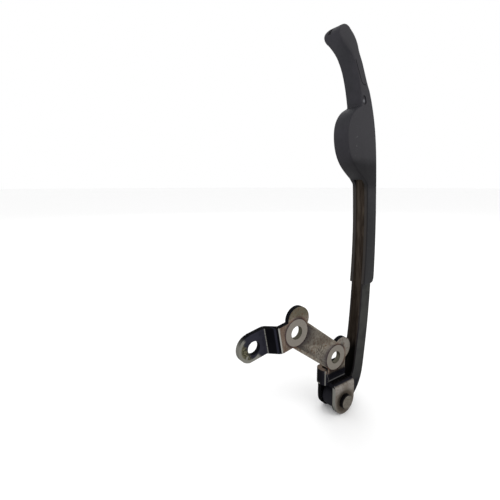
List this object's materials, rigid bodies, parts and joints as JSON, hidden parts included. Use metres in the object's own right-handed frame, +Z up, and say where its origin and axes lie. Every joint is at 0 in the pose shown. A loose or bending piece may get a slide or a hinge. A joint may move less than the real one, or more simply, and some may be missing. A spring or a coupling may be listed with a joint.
{
  "type": "timing chain guide",
  "caption": "Swinging timing chain guide: a curved black rubber shoe on a steel channel arm, pivoting on a pin in a folded sheet steel bracket with bolt holes.",
  "frame": {"origin": "midway between the bracket's two bolt holes, on the bracket's flat back face", "axes": "+Z up along the arm, +X towards the chain, +Y out of the bracket's back face towards the engine, along the bolts and the pivot pin"},
  "size_m": [0.0803, 0.0158, 0.1909],
  "materials": {
    "bracket_steel": "dull bare steel, oil stained, worn bright at the bolt seats",
    "pin_steel": "turned steel, dull",
    "channel_steel": "dark oiled steel, brownish inside",
    "bush_steel": "turned steel, plain",
    "shoe_rubber": "matt black moulded rubber with a few small worn spots"
  },
  "bodies": {
    "bracket_body": {"bracket": "bracket_steel", "pivot_pin": "pin_steel"},
    "arm_body": {"arm_channel": "channel_steel", "pivot_bush": "bush_steel", "guide_shoe": "shoe_rubber"}
  },
  "joints": [
    {"name": "arm_pivot", "type": "hinge", "parent": "bracket_body", "child": "arm_body", "pos_m": [0.01573, -0.001, -0.03332], "axis": [0, 1, 0], "range_deg": [-3, 12]}
  ]
}
